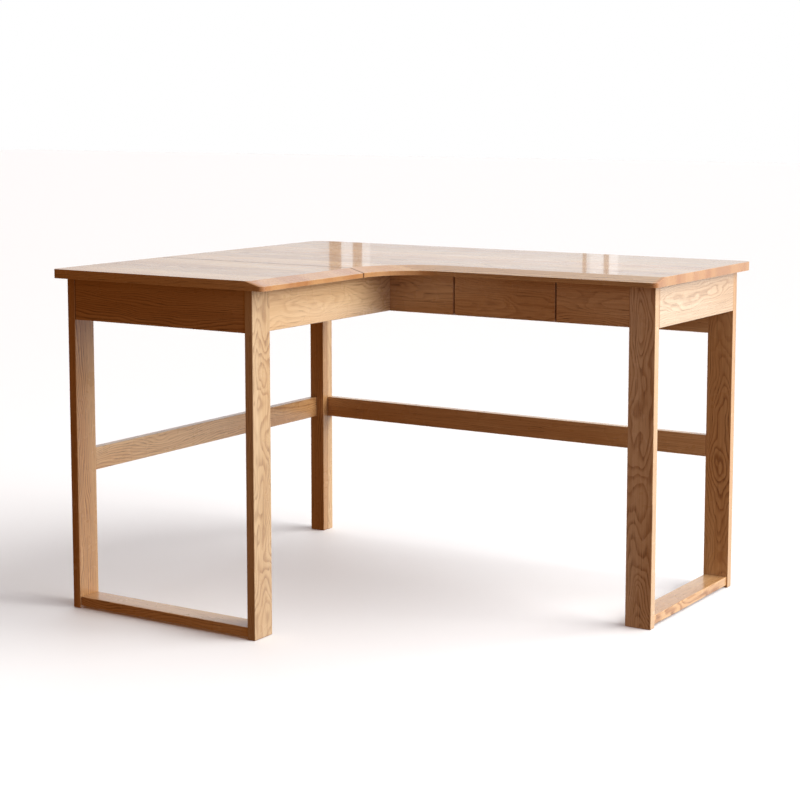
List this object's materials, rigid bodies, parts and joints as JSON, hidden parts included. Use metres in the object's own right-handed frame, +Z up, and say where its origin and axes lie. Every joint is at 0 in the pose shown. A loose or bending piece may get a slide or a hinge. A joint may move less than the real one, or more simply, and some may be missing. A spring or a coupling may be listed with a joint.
{
  "type": "corner desk",
  "caption": "L-shaped oak corner desk with a bevelled two-piece top, flat board legs joined by floor rails, rear stretchers and a shallow drawer set into the front apron.",
  "frame": {"origin": "on the floor, under the middle of the desk's overall footprint", "axes": "+X to the right along the main wing, +Y to the wall behind it, +Z up; the return wing reaches towards -Y on the left"},
  "size_m": [1.2, 1, 0.75],
  "materials": {
    "oak_top": "solid oak, clear satin lacquer",
    "oak_frame": "solid oak, clear satin lacquer",
    "oak_inside": "solid oak, thin matt lacquer",
    "plywood": "birch plywood, unlacquered",
    "zinc_steel": "zinc-plated sheet steel and screws"
  },
  "bodies": {
    "desk": {"back_apron": "oak_frame", "back_stretcher": "oak_frame", "corner_cross_rail": "oak_inside", "corner_leg_back_half": "oak_frame", "corner_leg_front_half": "oak_frame", "drawer_bearer_left": "oak_inside", "drawer_bearer_right": "oak_inside", "front_apron_left": "oak_frame", "front_apron_right": "oak_frame", "front_top_rail": "oak_inside", "left_foot_rail": "oak_frame", "left_frame_inner_leg": "oak_frame", "left_frame_outer_leg": "oak_frame", "left_side_apron": "oak_frame", "left_slide_cabinet_member": "zinc_steel", "left_stretcher": "oak_frame", "main_top": "oak_top", "return_front_apron": "oak_frame", "return_inner_apron": "oak_frame", "return_top": "oak_top", "right_end_apron": "oak_frame", "right_foot_rail": "oak_frame", "right_frame_back_leg": "oak_frame", "right_frame_front_leg": "oak_frame", "right_slide_cabinet_member": "zinc_steel", "seam_batten": "oak_inside", "seam_batten_screw_1": "zinc_steel", "seam_batten_screw_2": "zinc_steel", "seam_batten_screw_3": "zinc_steel", "seam_batten_screw_4": "zinc_steel", "seam_batten_screw_5": "zinc_steel", "seam_batten_screw_6": "zinc_steel", "top_bracket_1": "zinc_steel", "top_bracket_2": "zinc_steel", "top_bracket_3": "zinc_steel", "top_bracket_4": "zinc_steel", "top_bracket_5": "zinc_steel", "top_bracket_6": "zinc_steel", "top_bracket_7": "zinc_steel", "top_bracket_8": "zinc_steel"},
    "drawer": {"drawer_back": "oak_inside", "drawer_bottom": "plywood", "drawer_box_front": "oak_inside", "drawer_front": "oak_frame", "drawer_front_screw_1": "zinc_steel", "drawer_front_screw_2": "zinc_steel", "drawer_front_screw_3": "zinc_steel", "drawer_front_screw_4": "zinc_steel", "drawer_left_side": "oak_inside", "drawer_right_side": "oak_inside", "left_slide_drawer_member": "zinc_steel", "right_slide_drawer_member": "zinc_steel"},
    "left_slide_middle": {"left_slide_middle_member": "zinc_steel"},
    "right_slide_middle": {"right_slide_middle_member": "zinc_steel"}
  },
  "joints": [
    {"name": "drawer_slide", "type": "slide", "parent": "desk", "child": "drawer", "axis": [0, -1, 0], "range_m": [0, 0.3]},
    {"name": "left_middle_slide", "type": "slide", "parent": "desk", "child": "left_slide_middle", "axis": [0, -1, 0], "range_m": [0, 0.15]},
    {"name": "right_middle_slide", "type": "slide", "parent": "desk", "child": "right_slide_middle", "axis": [0, -1, 0], "range_m": [0, 0.15]}
  ],
  "couplings": [
    {"joint": "left_middle_slide", "follows": "drawer_slide", "ratio": 0.5},
    {"joint": "right_middle_slide", "follows": "drawer_slide", "ratio": 0.5}
  ]
}
